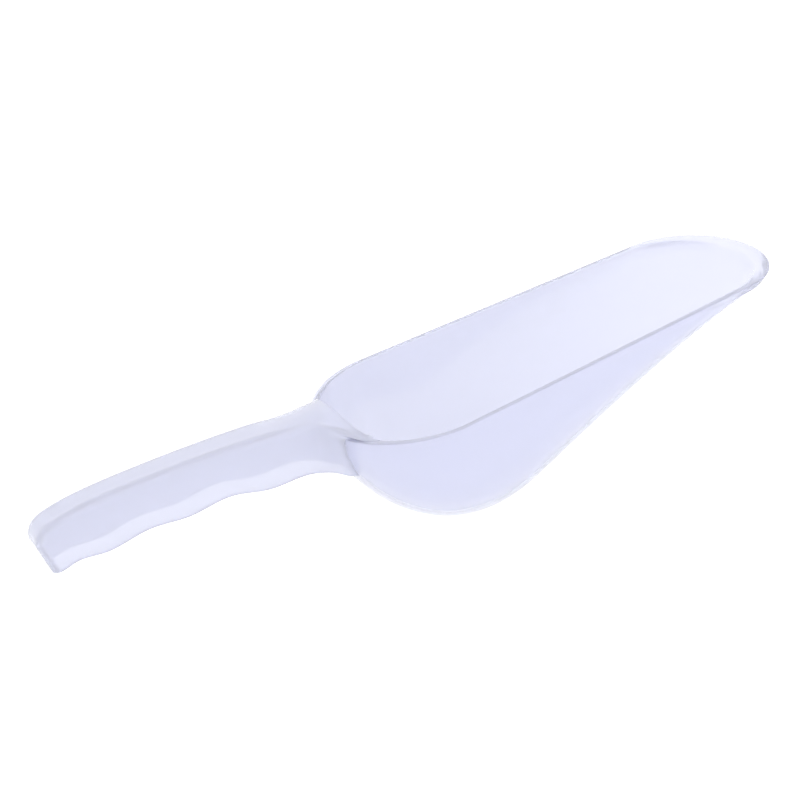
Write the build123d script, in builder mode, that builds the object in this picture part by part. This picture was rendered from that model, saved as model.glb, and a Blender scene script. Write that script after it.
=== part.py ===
from build123d import *
import math
import os

# Ice scoop, one clear polycarbonate moulding, drawn as the regions of its mould.
# Millimetres, +Z up.  The scoop lies as it does on a counter: on the heel of its
# bowl and on the end of its handle, with the lip raised.  +X points to the lip.

# ---- driving dimensions -------------------------------------------------
rest_pitch = 17.67        # the rim plane rises this many degrees towards the lip
rim_origin_x = -31.30     # where the bowl's back edge meets the rim plane, at rest
rim_origin_z = 34.2

bowl_length = 170.0       # back edge to lip, along the rim plane
bowl_half_width = 42.6    # at the back, where the bowl is widest
lip_half_width = 36.4     # where the lip's round starts
back_round = 32.0         # length of the rim's round at the back
lip_round = 22.7          # length of the rim's round at the lip
bowl_depth = 48.4         # rim plane to the heel
heel_x = 45.0             # the deepest point, from the back edge
heel_power = 1.93         # 2 would make the back of the bowl a true ellipse
floor_slope = 22.5        # the straight floor, measured from the rim plane
wall = 2.0

rim_height = 2.2          # the rim is a thicker band around the mouth
rim_proud = 0.5

neck_x = -13.0            # the handle's straight part starts here, the neck ends
handle_end_x = -102.9
handle_half_width_neck = 8.8
handle_half_width_end = 7.4
handle_edge_round = 3.0
handle_wall = 2.2
# the handle's top, seen from the side: a slow arch that turns down at the end
arch_x = (neck_x, -40.0, -65.0, -84.0, -95.0)
arch_z = (9.6, 12.1, 13.6, 13.9, 12.6)
top_plate = 4.2           # the top's share of the handle's height, with its rounded edges
top_slope = math.radians(3.6)   # the top climbs this much towards the end, over the rim plane
end_turn_x = -90.0        # past this the top turns down towards the end wall
end_cut_x = -98.6         # the end wall's region starts here
end_top_z = 6.0           # below this the end wall is straight
end_lean = 1.9            # it leans back this much from foot to top
# the lower edge of its sides: a foot at the end, three finger bumps, a rise to the neck
grip_x = (-101.0, -93.0, -82.0, -68.0, -54.5, -40.0, -26.5, neck_x)
grip_z = (-3.7, -2.6, -3.9, -2.7, -4.4, -3.9, -7.4, -8.3)

neck_bend_x = -5.2        # the shoulder's sides turn outwards here
neck_bend_round = 7.0
flare_x = 3.6             # and meet the back of the bowl here
flare_y = 19.6
flare_overrun = 9.0
neck_foot_x = 2.0         # the neck's straight sides reach down to here on the bowl
neck_foot_z = -15.8
shoulder_foot = -2.2      # only above this do they flare
neck_top_y = (0.0, 6.0, 12.0, 19.6, 26.0)
neck_top_z = (9.2, 8.6, 5.6, 1.0, 0.0)
bridge_half_width = 6.6   # the flat middle of the neck, between its two flares

# how the solids are drawn and cut
outline_points = 32       # points on each outline of the bowl
level_shares = (0, 0.12, 0.26, 0.42, 0.58, 0.73, 0.85, 0.93, 0.98, 1)
heel_flat = 0.25          # the lowest outline stops this far above the heel's deepest point
search_steps = 40         # halvings when the ends of an outline are looked for
beyond = 60.0             # cutters run this far past what they cut
end_overrun = 5.0

# ---- the rim plane ------------------------------------------------------
pitch = math.radians(rest_pitch)
rim = Plane(
    origin=(rim_origin_x, 0, rim_origin_z),
    x_dir=(math.cos(pitch), 0, math.sin(pitch)),
    z_dir=(-math.sin(pitch), 0, math.cos(pitch)),
)
side = Plane(origin=rim.origin, x_dir=rim.x_dir, z_dir=(0, -1, 0))   # X along the rim, Y up


def lip_end(inset):
    """The mouth's front end: a wall's thickness inside the lip is measured along the rim."""
    return bowl_length - (inset / math.sin(math.radians(floor_slope)) if inset > 0 else inset)


def plan_half_width(x, inset):
    """Half the width of the mouth at x, with the wall's inset on every side."""
    wide = bowl_half_width - inset
    narrow = lip_half_width - inset
    start = inset
    end = lip_end(inset)
    back = back_round - inset / 2
    front = lip_round - inset / 2
    if x < start + back:
        return wide * math.sqrt(max(0.0, 1 - ((start + back - x) / back) ** 2))
    if x > end - front:
        return narrow * math.sqrt(max(0.0, 1 - ((x - end + front) / front) ** 2))
    return wide + (narrow - wide) * (x - start - back) / (end - front - start - back)


def floor_depth(x, inset):
    """Depth of the bowl's centre line at x: rounded back, rounded heel, straight floor."""
    slope = math.radians(floor_slope)
    deep = bowl_depth - inset
    if x < heel_x:
        share = (heel_x - x) / (heel_x - inset)
        return deep * max(0.0, 1 - share ** heel_power) ** (1 / heel_power)
    straight_start = bowl_length - inset / math.sin(slope)
    bend = math.tan(slope) ** 2 / 4 / ((straight_start - heel_x) * math.tan(slope) - deep)
    if x < heel_x + math.tan(slope) / (2 * bend):
        return deep - bend * (x - heel_x) ** 2
    return max(0.0, (straight_start - x) * math.tan(slope))


def level_ends(depth, inset):
    """Where the bowl's centre line passes through this depth, at the back and front."""
    low, high = inset, heel_x
    for _ in range(search_steps):
        middle = (low + high) / 2
        if floor_depth(middle, inset) < depth:
            low = middle
        else:
            high = middle
    back = high
    low, high = heel_x, lip_end(inset)
    for _ in range(search_steps):
        middle = (low + high) / 2
        if floor_depth(middle, inset) > depth:
            low = middle
        else:
            high = middle
    return back, low


def level_outline(depth, inset):
    """One closed outline of the bowl, parallel to the rim plane."""
    back, front = level_ends(depth, inset)
    points = []
    for i in range(outline_points):
        turn = 2 * math.pi * i / outline_points
        x = (front + back) / 2 + (front - back) / 2 * math.cos(turn)
        reach = floor_depth(x, inset)
        share = min(1.0, depth / reach) if reach > 0 else 0.0
        y = plan_half_width(x, inset) * math.sqrt(1 - share ** 2)
        points.append((x, y if turn < math.pi else -y))
    return points


def level_face(depth, inset):
    """The bowl's outline at this depth below the rim plane, as a face."""
    with BuildSketch(rim.offset(-depth)) as level:
        with BuildLine():
            Spline(*level_outline(depth, inset), periodic=True)
        make_face()
    return level.sketch.face()


def level_faces(inset):
    """The outlines from the rim down to the heel, closer together lower down."""
    lowest = bowl_depth - inset - heel_flat
    return [level_face(lowest * share, inset) for share in level_shares]


# ---- the bowl -----------------------------------------------------------
# The whole bowl as a solid, and its hollow, which the regions below share.
with BuildPart() as bowl_blank:
    loft(level_faces(0))

with BuildPart() as bowl_hollow:
    loft(level_faces(wall))

# The thin wall below the rim band.
with BuildPart() as bowl_shell:
    add(bowl_blank.part)
    add(bowl_hollow.part, mode=Mode.SUBTRACT)
    split(bisect_by=rim.offset(-rim_height), keep=Keep.BOTTOM)
bowl_shell.part.label = "bowl_shell"


# The thicker band around the mouth, a little proud of the wall below it.
with BuildPart() as rim_blank:
    loft([level_face(rim_height, -rim_proud), level_face(0, -rim_proud)])

with BuildPart() as rim_band:
    add(rim_blank.part)
    loft([level_face(rim_height, wall), level_face(0, wall)], mode=Mode.SUBTRACT)
rim_band.part.label = "rim_band"


# ---- the handle ---------------------------------------------------------
def handle_solid(inset):
    """The handle as a solid, shrunk by inset on its top, sides and end."""
    near_y = handle_half_width_neck - inset
    end_y = handle_half_width_end - inset
    end_x = handle_end_x + inset
    deep = beyond if inset else 0
    arch = [(x + inset if x < end_turn_x else x, z - inset) for x, z in zip(arch_x, arch_z)]
    with BuildPart() as solid:
        with BuildSketch(side):
            with BuildLine():
                top = Spline(*arch)
                turn = TangentArc(top @ 1, (end_x, end_top_z - inset), tangent=top % 1)
                foot = Line(turn @ 1, (end_x + end_lean, grip_z[0] - deep))
                if inset:
                    under = Line(foot @ 1, (neck_x, grip_z[-1] - deep))
                else:
                    under = Spline(*zip(grip_x, grip_z))
                Line(under @ 1, top @ 0)
            make_face()
        extrude(amount=beyond, both=True)
        with BuildSketch(rim.offset(-beyond)):
            with BuildLine():
                taper = Line((neck_x, near_y), (end_x - end_overrun, end_y))
                mirror(about=Plane.XZ)
                Line(taper @ 0, (neck_x, -near_y))
                Line(taper @ 1, (end_x - end_overrun, -end_y))
            make_face()
        extrude(amount=2 * beyond, mode=Mode.INTERSECT)
        fillet(solid.edges().filter_by(is_grip_edge), handle_edge_round - inset)
    return solid.part


def is_grip_edge(edge):
    """True for the long top edges and for the corners of the end wall."""
    middle = rim.to_local_coords(edge.center())
    is_side = abs(middle.Y) > handle_half_width_end / 2
    is_top = middle.Z > arch_z[0] / 2 and middle.X < neck_x - end_lean
    is_end = middle.X < handle_end_x + handle_edge_round
    return edge.length > wall and is_side and (is_top or is_end)


with BuildPart() as handle_blank:
    add(handle_solid(0))
    add(handle_solid(handle_wall), mode=Mode.SUBTRACT)

# The cuts between the top, the sides and the end wall.
end_cut = Plane(origin=rim.from_local_coords(Vector(end_cut_x, 0, 0)), x_dir=(0, 1, 0), z_dir=rim.x_dir)
top_cut = Plane(
    origin=rim.from_local_coords(Vector(neck_x, 0, arch_z[0] - top_plate)),
    x_dir=(0, 1, 0),
    z_dir=(-math.sin(pitch - top_slope), 0, math.cos(pitch - top_slope)),
)

with BuildPart() as handle_top:
    add(handle_blank.part)
    split(bisect_by=end_cut, keep=Keep.TOP)
    split(bisect_by=top_cut, keep=Keep.TOP)
handle_top.part.label = "handle_top"

with BuildPart() as handle_side_left:
    add(handle_blank.part)
    split(bisect_by=end_cut, keep=Keep.TOP)
    split(bisect_by=top_cut, keep=Keep.BOTTOM)
    split(bisect_by=Plane.XZ, keep=Keep.BOTTOM)
handle_side_left.part.label = "handle_side_left"

with BuildPart() as handle_side_right:
    add(handle_blank.part)
    split(bisect_by=end_cut, keep=Keep.TOP)
    split(bisect_by=top_cut, keep=Keep.BOTTOM)
    split(bisect_by=Plane.XZ, keep=Keep.TOP)
handle_side_right.part.label = "handle_side_right"

with BuildPart() as handle_end:
    add(handle_blank.part)
    split(bisect_by=end_cut, keep=Keep.BOTTOM)
handle_end.part.label = "handle_end"


# ---- the neck -----------------------------------------------------------
def neck_solid(inset):
    """The neck as a solid: straight walls, a shoulder that flares into the rim, a domed top."""
    deep = beyond if inset else 0
    foot_rise = (neck_foot_z - grip_z[-1]) / (neck_foot_x - neck_x)
    foot_end = grip_z[-1] + foot_rise * (flare_overrun - neck_x)
    run = Vector(flare_x - neck_bend_x, flare_y - handle_half_width_neck).normalized()
    reach = Vector(flare_x, flare_y) + run * flare_overrun
    start = Vector(neck_x, handle_half_width_neck)
    bend = Vector(neck_bend_x, handle_half_width_neck)
    dome_points = [(y, z - inset) for y, z in zip(neck_top_y, neck_top_z)]
    edge_y = neck_top_y[-1]
    with BuildPart() as solid:
        with BuildSketch(side):
            with BuildLine():
                foot = Line((neck_x, grip_z[-1] - deep), (flare_overrun, foot_end - deep))
                Polyline(foot @ 1, (flare_overrun, beyond), (neck_x, beyond), foot @ 0)
            make_face()
        extrude(amount=handle_half_width_neck - inset, both=True)
        if not inset:
            with BuildSketch(rim.offset(shoulder_foot)):
                with BuildLine():
                    left = FilletPolyline(start, bend, reach, radius=neck_bend_round)
                    mirror(about=Plane.XZ)
                    Line(left @ 1, Vector(reach.X, -reach.Y))
                    Line(left @ 0, Vector(start.X, -start.Y))
                make_face()
            extrude(amount=beyond)
        with BuildSketch(Plane(origin=rim.origin, x_dir=(0, 1, 0), z_dir=rim.x_dir)):
            with BuildLine():
                dome = Spline(*dome_points, tangents=((1, 0), (1, 0)))
                mirror(about=Plane.YZ)
                Polyline(dome @ 1, (edge_y, -beyond), (-edge_y, -beyond), (-edge_y, (dome @ 1).Y))
            make_face()
        extrude(amount=beyond, both=True, mode=Mode.INTERSECT)
    return solid.part


with BuildPart() as mouth_column:
    with BuildSketch(rim):
        with BuildLine():
            Spline(*level_outline(0, wall), periodic=True)
        make_face()
    extrude(amount=beyond)

with BuildPart() as neck_blank:
    add(neck_solid(0))
    add(neck_solid(handle_wall), mode=Mode.SUBTRACT)
    add(mouth_column.part, mode=Mode.SUBTRACT)
    add(rim_blank.part, mode=Mode.SUBTRACT)
    add(bowl_blank.part, mode=Mode.SUBTRACT)

with BuildPart() as neck_bridge:
    add(neck_blank.part)
    split(bisect_by=Plane.XZ.offset(bridge_half_width), keep=Keep.BOTTOM)
    split(bisect_by=Plane.XZ.offset(-bridge_half_width), keep=Keep.TOP)
neck_bridge.part.label = "neck_bridge"

with BuildPart() as neck_flare_left:
    add(neck_blank.part)
    split(bisect_by=Plane.XZ.offset(-bridge_half_width), keep=Keep.BOTTOM)
neck_flare_left.part.label = "neck_flare_left"

with BuildPart() as neck_flare_right:
    add(neck_blank.part)
    split(bisect_by=Plane.XZ.offset(bridge_half_width), keep=Keep.TOP)
neck_flare_right.part.label = "neck_flare_right"

os.makedirs("parts", exist_ok=True)
pieces = (
    bowl_shell, rim_band, neck_bridge, neck_flare_left, neck_flare_right,
    handle_top, handle_side_left, handle_side_right, handle_end,
)
for piece in pieces:
    export_step(piece.part, f"parts/{piece.part.label}.step")
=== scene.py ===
import math

import bmesh
import bpy
from mathutils import Matrix, Vector


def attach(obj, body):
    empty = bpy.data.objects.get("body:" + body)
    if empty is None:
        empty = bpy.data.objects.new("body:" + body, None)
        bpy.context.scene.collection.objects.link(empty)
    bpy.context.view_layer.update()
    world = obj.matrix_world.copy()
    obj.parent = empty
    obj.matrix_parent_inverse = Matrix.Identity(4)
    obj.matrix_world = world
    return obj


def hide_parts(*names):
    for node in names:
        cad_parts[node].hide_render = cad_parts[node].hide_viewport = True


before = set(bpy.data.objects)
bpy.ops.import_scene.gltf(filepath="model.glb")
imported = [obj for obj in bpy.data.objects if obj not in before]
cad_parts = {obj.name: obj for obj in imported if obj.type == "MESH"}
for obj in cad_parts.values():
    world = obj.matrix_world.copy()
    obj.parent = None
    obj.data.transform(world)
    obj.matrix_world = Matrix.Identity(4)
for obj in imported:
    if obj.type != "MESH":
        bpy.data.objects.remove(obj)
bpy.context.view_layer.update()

# ---- bowl ---------------------------------------------------------------
# The deep end of one clear polycarbonate moulding: a thin wall with a rounded back
# and heel, a straight floor that rises to the lip, and a thicker band round the mouth.
# Its sizes are millimetres from the back edge towards the lip, in the mouth's plane.
MOUTH_PLANE = (
    Matrix.Translation((-0.03130, 0, 0.0342))
    @ Matrix.Rotation(math.radians(-17.67), 4, "Y")
    @ Matrix.Scale(0.001, 4)
)
BOWL_LENGTH = 170.0
BOWL_HALF_WIDTH = 42.6
LIP_HALF_WIDTH = 36.4
BACK_ROUND = 32.0
LIP_ROUND = 22.7
BOWL_DEPTH = 48.4
HEEL_X = 45.0
HEEL_POWER = 1.93
FLOOR_SLOPE = math.radians(22.5)
WALL = 2.0
BAND_HEIGHT = 2.2
BAND_PROUD = 0.5
BAND_EDGE = 0.35
BAND_DRAFT = 0.02
EDGE_TURNS = [math.radians(angle) for angle in (0, 30, 60, 90)]
RING_POINTS = 192
WALL_RINGS = 40
SEARCH_STEPS = 40
TINY = 1e-6


def lip_end(inset):
    """The mouth's front end: a wall measured along the mouth is thicker at the lip."""
    return BOWL_LENGTH - (inset / math.sin(FLOOR_SLOPE) if inset > 0 else inset)


def mouth_half_width(x, inset):
    """Half the mouth's width at x: round back, straight taper, round lip."""
    wide = BOWL_HALF_WIDTH - inset
    narrow = LIP_HALF_WIDTH - inset
    back = BACK_ROUND - inset / 2
    front = LIP_ROUND - inset / 2
    end = lip_end(inset)
    if x < inset + back:
        return wide * math.sqrt(max(0.0, 1 - ((inset + back - x) / back) ** 2))
    if x > end - front:
        return narrow * math.sqrt(max(0.0, 1 - ((x - end + front) / front) ** 2))
    return wide + (narrow - wide) * (x - inset - back) / (end - front - inset - back)


def floor_depth(x, inset):
    """Depth of the centre line at x: rounded back, rounded heel, straight floor."""
    deep = BOWL_DEPTH - inset
    if x < HEEL_X:
        share = max(0.0, (HEEL_X - x) / (HEEL_X - inset))
        return deep * max(0.0, 1 - share**HEEL_POWER) ** (1 / HEEL_POWER)
    straight_start = BOWL_LENGTH - inset / math.sin(FLOOR_SLOPE)
    rise = math.tan(FLOOR_SLOPE)
    bend = rise**2 / 4 / ((straight_start - HEEL_X) * rise - deep)
    if x < HEEL_X + rise / (2 * bend):
        return deep - bend * (x - HEEL_X) ** 2
    return max(0.0, (straight_start - x) * rise)


def last_true(test, inside, outside):
    """The value between two others where a test stops being true."""
    for _ in range(SEARCH_STEPS):
        middle = (inside + outside) / 2
        if test(middle):
            inside = middle
        else:
            outside = middle
    return (inside + outside) / 2


def bowl_ring(depth, inset):
    """One closed ring of places on the bowl, parallel to the mouth."""
    back = last_true(lambda x: floor_depth(x, inset) > depth, HEEL_X, inset)
    front = last_true(lambda x: floor_depth(x, inset) > depth, HEEL_X, lip_end(inset))
    ring = []
    for i in range(RING_POINTS):
        turn = 2 * math.pi * (i + 0.5) / RING_POINTS
        x = (front + back) / 2 + (front - back) / 2 * math.cos(turn)
        share = min(1.0, depth / max(floor_depth(x, inset), TINY)) if depth > 0 else 0.0
        y = mouth_half_width(x, inset) * math.sqrt(1 - share**2)
        ring.append(Vector((x, math.copysign(y, math.sin(turn)), -depth)))
    return ring


def pull_out(bm, chain, closed, rows):
    """Extrudes a chain of vertices from row to row and returns the last chain."""
    count = len(chain)
    pairs = zip(chain, chain[1:] + chain[:1] if closed else chain[1:])
    edges = [bm.edges.get(pair) for pair in pairs]
    for row in rows:
        place_of = {vert: i for i, vert in enumerate(chain)}
        made = bmesh.ops.extrude_edge_only(bm, edges=edges)["geom"]
        chain = [None] * count
        for vert in (g for g in made if isinstance(g, bmesh.types.BMVert)):
            neighbours = (edge.other_vert(vert) for edge in vert.link_edges)
            i = place_of[next(other for other in neighbours if other in place_of)]
            chain[i] = vert
            vert.co = row[i]
        made_edges = [g for g in made if isinstance(g, bmesh.types.BMEdge)]
        edges = [edge for edge in made_edges if not any(vert in place_of for vert in edge.verts)]
    return chain


def as_object(bm, name):
    """A finished mesh in the scoop's place on the counter."""
    mesh = bpy.data.meshes.new(name)
    bm.to_mesh(mesh)
    bm.free()
    obj = bpy.data.objects.new(name, mesh)
    bpy.context.scene.collection.objects.link(obj)
    return obj


def wall_rings(inset, top):
    """Rings from just under the top down to the heel, closer together lower down."""
    lowest = BOWL_DEPTH - inset
    start = math.asin(top / lowest)
    turns = [start + (math.pi / 2 - start) * k / WALL_RINGS for k in range(WALL_RINGS)]
    return [bowl_ring(lowest * math.sin(turn), inset) for turn in turns]


outer_rings = wall_rings(0.0, BAND_HEIGHT)[::-1]
band_rings = [bowl_ring(BAND_HEIGHT, -BAND_PROUD + BAND_DRAFT)]
for turn in EDGE_TURNS:
    inset = -BAND_PROUD + BAND_EDGE * (1 - math.cos(turn))
    band_rings.append(bowl_ring(BAND_EDGE * (1 - math.sin(turn)), inset))
for turn in EDGE_TURNS:
    inset = WALL - BAND_EDGE * (1 - math.sin(turn))
    band_rings.append(bowl_ring(BAND_EDGE * (1 - math.cos(turn)), inset))
inner_rings = wall_rings(WALL, BAND_HEIGHT)

bm = bmesh.new()
first = bmesh.ops.create_circle(bm, segments=RING_POINTS, radius=1)["verts"]
for vert, place in zip(first, outer_rings[0]):
    vert.co = place
last = pull_out(bm, list(first), True, outer_rings[1:] + band_rings + inner_rings)
bmesh.ops.pointmerge(bm, verts=first, merge_co=(HEEL_X, 0, -BOWL_DEPTH))
bmesh.ops.pointmerge(bm, verts=last, merge_co=(HEEL_X, 0, WALL - BOWL_DEPTH))
bmesh.ops.recalc_face_normals(bm, faces=bm.faces)
bmesh.ops.transform(bm, matrix=MOUTH_PLANE, verts=bm.verts)
bowl_blank = as_object(bm, "bowl_blank")

# The plastic is glossy from a polished mould, with a slight haze, the faint waviness of
# moulded walls and fine rub marks from ice and hands.
IOR = 1.58
SLOW_WAVES = 26
RUB_STROKES = (150, 1900, 900)
STROKE_RANGE = (0.56, 0.74)
STROKE_DEPTH = -0.03
BUMP_STRENGTH = 0.25
BUMP_DEPTH = 0.0004


def group_socket(tree, name, in_out, default=None):
    socket = tree.interface.new_socket(name, in_out=in_out, socket_type="NodeSocketFloat")
    if default is not None:
        socket.default_value = default


wear = bpy.data.node_groups.new("moulded_wear", "ShaderNodeTree")
group_socket(wear, "Polish", "INPUT", 0.02)
group_socket(wear, "Rubbed", "INPUT", 0.1)
group_socket(wear, "Mark Size", "INPUT", 120.0)
group_socket(wear, "Roughness", "OUTPUT")
group_socket(wear, "Height", "OUTPUT")
nodes, links = wear.nodes, wear.links
given = nodes.new("NodeGroupInput")
result = nodes.new("NodeGroupOutput")
place = nodes.new("ShaderNodeTexCoord")
patches = nodes.new("ShaderNodeTexNoise")
patches.inputs["Detail"].default_value = 6
patches.inputs["Roughness"].default_value = 0.6
strokes = nodes.new("ShaderNodeTexNoise")
stretch = nodes.new("ShaderNodeMapping")
stretch.inputs["Scale"].default_value = RUB_STROKES
strokes.inputs["Scale"].default_value = 1
strokes.inputs["Detail"].default_value = 2
fine = nodes.new("ShaderNodeMapRange")
fine.inputs["From Min"].default_value = STROKE_RANGE[0]
fine.inputs["From Max"].default_value = STROKE_RANGE[1]
waves = nodes.new("ShaderNodeTexNoise")
waves.inputs["Scale"].default_value = SLOW_WAVES
waves.inputs["Detail"].default_value = 1
worn = nodes.new("ShaderNodeMath")
worn.operation = "MULTIPLY"
rub = nodes.new("ShaderNodeMath")
rub.operation = "MULTIPLY_ADD"
relief = nodes.new("ShaderNodeMath")
relief.operation = "MULTIPLY_ADD"
relief.inputs[1].default_value = STROKE_DEPTH
links.new(place.outputs["Object"], patches.inputs["Vector"])
links.new(given.outputs["Mark Size"], patches.inputs["Scale"])
links.new(place.outputs["Object"], stretch.inputs["Vector"])
links.new(stretch.outputs["Vector"], strokes.inputs["Vector"])
links.new(place.outputs["Object"], waves.inputs["Vector"])
links.new(strokes.outputs["Fac"], fine.inputs["Value"])
links.new(patches.outputs["Fac"], worn.inputs[0])
links.new(fine.outputs["Result"], worn.inputs[1])
links.new(worn.outputs["Value"], rub.inputs[0])
links.new(given.outputs["Rubbed"], rub.inputs[1])
links.new(given.outputs["Polish"], rub.inputs[2])
links.new(fine.outputs["Result"], relief.inputs[0])
links.new(waves.outputs["Fac"], relief.inputs[2])
links.new(rub.outputs["Value"], result.inputs["Roughness"])
links.new(relief.outputs["Value"], result.inputs["Height"])


def clear_plastic(name, tint, clarity, polish, rubbed, mark_size):
    """The clear plastic, with its own haze and share of rub marks."""
    material = bpy.data.materials.new(name)
    material.use_nodes = True
    tree = material.node_tree
    shader = tree.nodes["Principled BSDF"]
    shader.inputs["Base Color"].default_value = tint
    shader.inputs["IOR"].default_value = IOR
    shader.inputs["Transmission Weight"].default_value = clarity
    marks = tree.nodes.new("ShaderNodeGroup")
    marks.node_tree = wear
    marks.inputs["Polish"].default_value = polish
    marks.inputs["Rubbed"].default_value = rubbed
    marks.inputs["Mark Size"].default_value = mark_size
    bump = tree.nodes.new("ShaderNodeBump")
    bump.inputs["Strength"].default_value = BUMP_STRENGTH
    bump.inputs["Distance"].default_value = BUMP_DEPTH
    tree.links.new(marks.outputs["Roughness"], shader.inputs["Roughness"])
    tree.links.new(marks.outputs["Height"], bump.inputs["Height"])
    tree.links.new(bump.outputs["Normal"], shader.inputs["Normal"])
    return material


bowl_finish = clear_plastic(
    "clear_bowl", tint=(0.83, 0.845, 0.985, 1), clarity=0.64,
    polish=0.07, rubbed=0.12, mark_size=60,
)

# ---- handle -------------------------------------------------------------
# The other end of the same moulding: an upside-down channel with an end wall, finger
# bumps along its lower edges, and a neck that runs into the back of the bowl, flaring
# only near the mouth.  It is drawn hollow below, like other moulded handles.
NECK_X = -13.0
END_X = -102.9
HALF_WIDTH_NECK = 8.8
HALF_WIDTH_END = 7.4
HANDLE_WALL = 2.2
EDGE_ROUND = 3.0
FLARE_EDGE_ROUND = 1.6
END_ROUND_X = 7.9
END_ROUND_Z = 6.6
CORNER_ROUND = 3.0
END_LEAN = 1.9
END_BLEND = 20.0
END_SHARPNESS = 3
NECK_BLEND = (-24.0, -6.0)
NECK_FLATTEN = 0.35
ARCH = (
    (-102.0, 10.9), (-95.0, 12.6), (-84.0, 13.9), (-65.0, 13.6),
    (-40.0, 12.1), (-13.0, 9.6), (0.0, 9.2),
)
GRIP = (
    (-101.0, -3.7), (-93.0, -2.6), (-82.0, -3.9), (-68.0, -2.7), (-54.5, -4.4),
    (-40.0, -3.9), (-26.5, -7.4), (-13.0, -8.3), (-5.0, -11.2), (2.0, -15.8), (20.0, -20.0),
)
DOME = ((0.0, 9.2), (6.0, 8.6), (12.0, 6.0), (19.6, 1.6), (26.0, 0.2))
FLARE_STRAIGHT = 4.48
FLARE_BEND_ROUND = 7.0
FLARE_TURN = math.atan2(10.8, 8.8)
FLARE_END_X = 4.0
FLARE_SEARCH = 60.0
FLARE_STATIONS = 22
SIDE_STATIONS = 64
CORNER_STATIONS = 8
END_STATIONS = 6
TOP_RINGS = 6
TOP_NEST = 0.6
EDGE_RINGS = 8
SIDE_RINGS = 14
SAME_PLACE = 0.01


def through(points, x):
    """A smooth line through the points, held level past its ends."""
    if x <= points[0][0]:
        return points[0][1]
    if x >= points[-1][0]:
        return points[-1][1]
    slopes = [0.0]
    for before, after in zip(points, points[2:]):
        slopes.append((after[1] - before[1]) / (after[0] - before[0]))
    slopes.append(0.0)
    i = max(k for k in range(len(points) - 1) if points[k][0] <= x)
    (x0, z0), (x1, z1) = points[i], points[i + 1]
    run = x1 - x0
    t = (x - x0) / run
    rise = z1 - z0
    bow = t * (1 - t) * ((1 - t) * (slopes[i] * run - rise) - t * (slopes[i + 1] * run - rise))
    return z0 + t * rise + bow


def smooth_step(start, end, x):
    """Goes smoothly from 0 at the start to 1 at the end."""
    t = min(1.0, max(0.0, (x - start) / (end - start)))
    return t * t * (3 - 2 * t)


def flare_plan(run, most_turn):
    """Place on the neck's outline, seen from above, at this distance past its start."""
    if run < FLARE_STRAIGHT:
        return NECK_X + run, HALF_WIDTH_NECK
    arc = min(most_turn, (run - FLARE_STRAIGHT) / FLARE_BEND_ROUND)
    rest = run - FLARE_STRAIGHT - FLARE_BEND_ROUND * arc
    x = NECK_X + FLARE_STRAIGHT + FLARE_BEND_ROUND * math.sin(arc) + rest * math.cos(most_turn)
    y = HALF_WIDTH_NECK + FLARE_BEND_ROUND * (1 - math.cos(arc)) + rest * math.sin(most_turn)
    return x, y


def in_bowl_wall(x, y, z):
    """True once a place is inside the bowl's wall, or over its rim."""
    depth = max(0.0, -z)
    inset = WALL if z > 0 else WALL / 2
    if x <= inset:
        return False
    across = min(1.0, abs(y) / max(TINY, mouth_half_width(x, inset)))
    return floor_depth(x, inset) * math.sqrt(1 - across**2) > depth and across < 1


def section(x, half_width, end_share, pull, ring):
    """Half width and height of one ring of the handle's skin at a station."""
    kind, value = ring
    edge = EDGE_ROUND + (FLARE_EDGE_ROUND - EDGE_ROUND) * smooth_step(NECK_X, FLARE_END_X, x)
    drop = edge + (END_ROUND_Z - edge) * end_share**END_SHARPNESS
    flat = half_width - edge
    if kind == "top":
        y, fall = flat * value, 0.0
    elif kind == "edge":
        y, fall = flat + edge * math.sin(value), drop * (1 - math.cos(value))
    else:
        y, fall = half_width, drop
    neck = smooth_step(*NECK_BLEND, x)
    arch = through(ARCH, x + END_ROUND_X * end_share * max(1.0, pull))
    crown = arch * (1 - neck) + through(DOME, abs(y)) * neck
    z = crown - fall * (1 - NECK_FLATTEN * neck)
    if kind == "side":
        z = z + (through(GRIP, x) - z) * value
    return y, z


def handle_row(ring):
    """One row of places from the left of the neck, round the end wall, to the right."""
    kind, value = ring
    if kind == "top":
        pull = 1 + TOP_NEST * (1 - value)
    elif kind == "edge":
        pull = 1 - math.sin(value)
    else:
        pull = 0.0
    most_turn = FLARE_TURN * (1 - value) ** 2 if kind == "side" else FLARE_TURN

    def flare_place(run):
        x, half_width = flare_plan(run, most_turn)
        y, z = section(x, half_width, 0.0, pull, ring)
        return x, y, z

    reach = last_true(lambda run: not in_bowl_wall(*flare_place(run)), 0.0, FLARE_SEARCH)
    half = [Vector(flare_place(reach * (1 - k / FLARE_STATIONS))) for k in range(FLARE_STATIONS)]
    outline = []
    side_end = END_X + CORNER_ROUND
    for k in range(SIDE_STATIONS):
        x = NECK_X + (side_end - NECK_X) * k / SIDE_STATIONS
        half_width = HALF_WIDTH_NECK + (HALF_WIDTH_END - HALF_WIDTH_NECK) * k / SIDE_STATIONS
        outline.append((x, half_width, 1.0))
    for k in range(CORNER_STATIONS):
        turn = math.pi / 2 * k / CORNER_STATIONS
        across = (HALF_WIDTH_END - CORNER_ROUND * (1 - math.cos(turn))) / HALF_WIDTH_END
        outline.append((side_end - CORNER_ROUND * math.sin(turn), HALF_WIDTH_END, across))
    for k in range(END_STATIONS + 1):
        across = (1 - CORNER_ROUND / HALF_WIDTH_END) * (1 - k / END_STATIONS)
        outline.append((END_X, HALF_WIDTH_END, across))
    for x, half_width, across in outline:
        end_share = max(0.0, (END_X + END_BLEND - x) / END_BLEND)
        y, z = section(x, half_width, end_share, pull, ring)
        lean = END_LEAN * value * end_share if kind == "side" else 0.0
        half.append(Vector((x + END_ROUND_X * end_share * pull + lean, y * across, z)))
    return half + [Vector((p.x, -p.y, p.z)) for p in half[-2::-1]]


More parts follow.
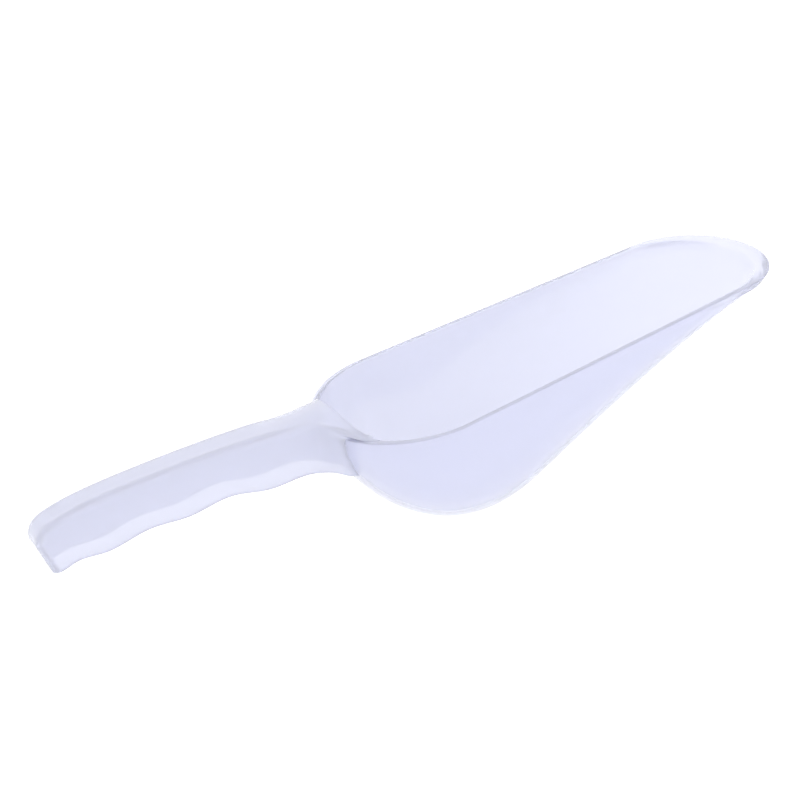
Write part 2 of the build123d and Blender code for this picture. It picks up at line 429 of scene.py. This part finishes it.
handle_rings = [("top", k / TOP_RINGS) for k in range(TOP_RINGS)]
handle_rings += [("edge", math.pi / 2 * k / EDGE_RINGS) for k in range(EDGE_RINGS)]
handle_rings += [("side", k / SIDE_RINGS) for k in range(SIDE_RINGS + 1)]
handle_rows = [handle_row(ring) for ring in handle_rings]

bm = bmesh.new()
chain = [bmesh.ops.create_vert(bm, co=handle_rows[0][0])["vert"][0]]
for place in handle_rows[0][1:]:
    made = bmesh.ops.extrude_vert_indiv(bm, verts=[chain[-1]])
    chain.append(made["verts"][0])
    chain[-1].co = place
pull_out(bm, chain, False, handle_rows[1:])
bmesh.ops.remove_doubles(bm, verts=bm.verts, dist=SAME_PLACE)
bmesh.ops.recalc_face_normals(bm, faces=bm.faces)
top_face = max(bm.faces, key=lambda f: f.calc_center_median().z)
if top_face.normal.z < 0:
    bmesh.ops.reverse_faces(bm, faces=bm.faces)
bmesh.ops.solidify(bm, geom=bm.faces[:], thickness=HANDLE_WALL)
bmesh.ops.recalc_face_normals(bm, faces=bm.faces)
bmesh.ops.transform(bm, matrix=MOUTH_PLANE, verts=bm.verts)
handle_blank = as_object(bm, "handle_blank")
handle_finish = clear_plastic(
    "clear_handle", tint=(0.815, 0.83, 0.965, 1), clarity=0.5,
    polish=0.1, rubbed=0.16, mark_size=90,
)

# ---- moulding -----------------------------------------------------------
# Bowl and handle come out of one mould, so the neck's walls run into the bowl's wall
# with no face between them.  Each piece is open along the crease where they meet, and
# together they close.
MERGE = 1e-7
CREASE = math.radians(32)
for slot_index, blank in enumerate((bowl_blank, handle_blank)):
    for finish in (bowl_finish, handle_finish):
        blank.data.materials.append(finish)
    for face in blank.data.polygons:
        face.material_index = slot_index
union = bowl_blank.modifiers.new("moulded_together", "BOOLEAN")
union.operation = "UNION"
union.solver = "MANIFOLD"
union.object = handle_blank
depsgraph = bpy.context.evaluated_depsgraph_get()
moulding = bpy.data.meshes.new_from_object(bowl_blank.evaluated_get(depsgraph))


def mark_creases(bm):
    """Smooth faces, with sharp edges kept where the moulding has a corner."""
    for face in bm.faces:
        face.smooth = True
    for edge in bm.edges:
        edge.smooth = len(edge.link_faces) == 2 and edge.calc_face_angle(0) < CREASE


def moulded_region(name, slot_index, finish, nodes):
    """One region of the moulding as a piece of its own."""
    bm = bmesh.new()
    bm.from_mesh(moulding)
    away = [face for face in bm.faces if face.material_index != slot_index]
    bmesh.ops.delete(bm, geom=away, context="FACES")
    bmesh.ops.dissolve_degenerate(bm, edges=bm.edges, dist=MERGE)
    mark_creases(bm)
    for face in bm.faces:
        face.material_index = 0
    piece = as_object(bm, name)
    piece.data.materials.append(finish)
    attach(piece, "root")
    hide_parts(*nodes)


moulded_region("bowl", 0, bowl_finish, ["bowl_shell", "rim_band"])
moulded_region(
    "handle", 1, handle_finish,
    ["neck_bridge", "neck_flare_left", "neck_flare_right",
     "handle_top", "handle_side_left", "handle_side_right", "handle_end"],
)
for blank in (bowl_blank, handle_blank):
    bpy.data.objects.remove(blank)

# ---- studio -------------------------------------------------------------
# A white counter under an even white light, with the camera a little above the scoop
# and off its handle side.
COUNTER_SIZE = 4
LIGHT_BOUNCES = 40
bm = bmesh.new()
bmesh.ops.create_grid(bm, x_segments=1, y_segments=1, size=COUNTER_SIZE)
floor = as_object(bm, "counter_top")
counter = bpy.data.materials.new("white_counter")
counter.use_nodes = True
paint = counter.node_tree.nodes["Principled BSDF"]
paint.inputs["Base Color"].default_value = (0.12, 0.12, 0.12, 1)
paint.inputs["Roughness"].default_value = 1
paint.inputs["Specular IOR Level"].default_value = 0
paint.inputs["Emission Color"].default_value = (1, 1, 1, 1)
paint.inputs["Emission Strength"].default_value = 1.08
floor.data.materials.append(counter)

studio = bpy.data.worlds.new("soft_white_light")
studio.use_nodes = True
light = studio.node_tree.nodes["Background"]
light.inputs["Color"].default_value = (1, 1, 1, 1)
light.inputs["Strength"].default_value = 1.2
bpy.context.scene.world = studio
bpy.context.scene.view_settings.view_transform = "Standard"
bpy.context.scene.cycles.max_bounces = LIGHT_BOUNCES
bpy.context.scene.cycles.transmission_bounces = LIGHT_BOUNCES
bpy.context.scene.cycles.transparent_max_bounces = LIGHT_BOUNCES

lens = bpy.data.cameras.new("counter_camera")
lens.lens = 83.25
lens.sensor_width = 36
camera = bpy.data.objects.new("counter_camera", lens)
# rows of the camera's sideways, up and backwards directions, then its place in metres
camera.matrix_world = Matrix((
    (0.9035, 0.1077, -0.4148, -0.2630),
    (-0.4283, 0.2615, -0.8650, -0.53975),
    (0.0153, 0.9592, 0.2824, 0.2176),
    (0, 0, 0, 1),
))
bpy.context.scene.collection.objects.link(camera)
bpy.context.scene.camera = camera
